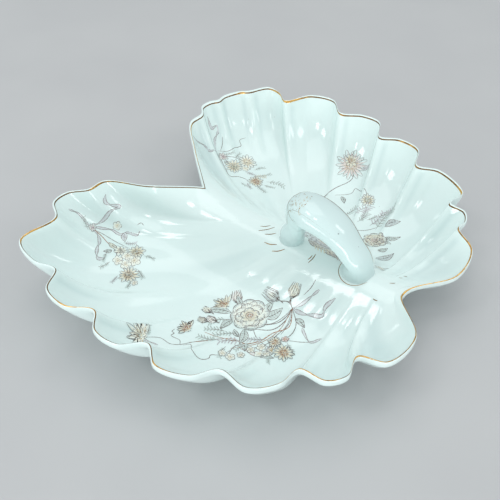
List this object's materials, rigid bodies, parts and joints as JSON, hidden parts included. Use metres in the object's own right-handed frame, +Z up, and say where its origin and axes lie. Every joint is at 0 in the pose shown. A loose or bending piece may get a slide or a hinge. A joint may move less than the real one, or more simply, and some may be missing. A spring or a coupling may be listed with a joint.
{
  "type": "handled double shell dish",
  "caption": "Porcelain serving dish of joined scallop shells that share a ridge, with a strap loop handle on the ridge, fluted bowls, gilt edges and oval foot rings.",
  "frame": {"origin": "on the table, under the middle of the dish's box", "axes": "+X along the ridge towards the handle end, +Y across the ridge towards the rear shell, +Z up"},
  "size_m": [0.2716, 0.3055, 0.0805],
  "materials": {
    "porcelain": "clear glossy glaze over white porcelain",
    "bare_foot": "unglazed fired porcelain, fine matt",
    "gilding": "thin worn fired gold"
  },
  "bodies": {
    "root": {"front_shell": "porcelain", "rear_shell": "porcelain", "handle": "porcelain", "front_foot_ring": "bare_foot", "rear_foot_ring": "bare_foot", "front_rim_gilding": "gilding", "rear_rim_gilding": "gilding", "handle_front_gilding": "gilding", "handle_rear_gilding": "gilding"}
  },
  "joints": []
}
